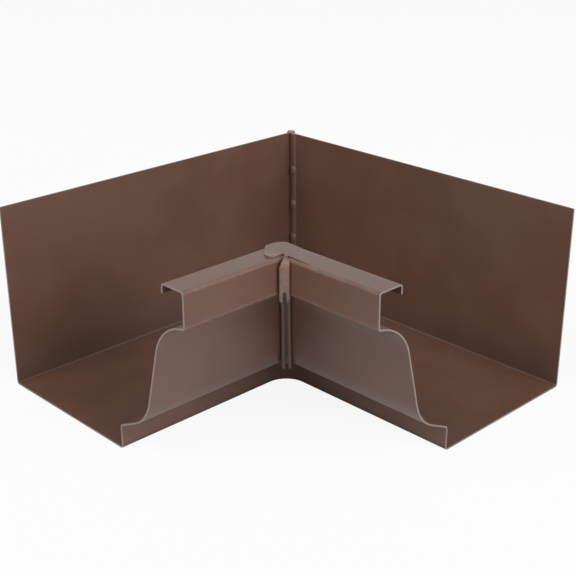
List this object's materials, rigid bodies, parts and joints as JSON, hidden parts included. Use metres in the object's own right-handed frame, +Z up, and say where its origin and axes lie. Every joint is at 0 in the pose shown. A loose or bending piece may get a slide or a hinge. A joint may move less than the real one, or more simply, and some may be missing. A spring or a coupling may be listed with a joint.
{
  "type": "internal gutter angle",
  "caption": "Internal 90 degree angle for an ogee-fronted box gutter: two short sheet troughs, mitred and joined by a folded corner seam.",
  "frame": {"origin": "centre of the bounding box in plan, on the plane of the flat bottom that the angle stands on", "axes": "+Z up from the bottom; the right leg runs towards +X with its back wall facing +Y; the left leg runs towards -Y with its back wall facing -X; the front faces look towards +X and -Y"},
  "size_m": [0.1814, 0.1822, 0.087],
  "materials": {
    "painted_sheet": "satin brown baked paint on aluminium sheet"
  },
  "bodies": {
    "root": {"left_leg": "painted_sheet", "right_leg": "painted_sheet"}
  },
  "joints": []
}
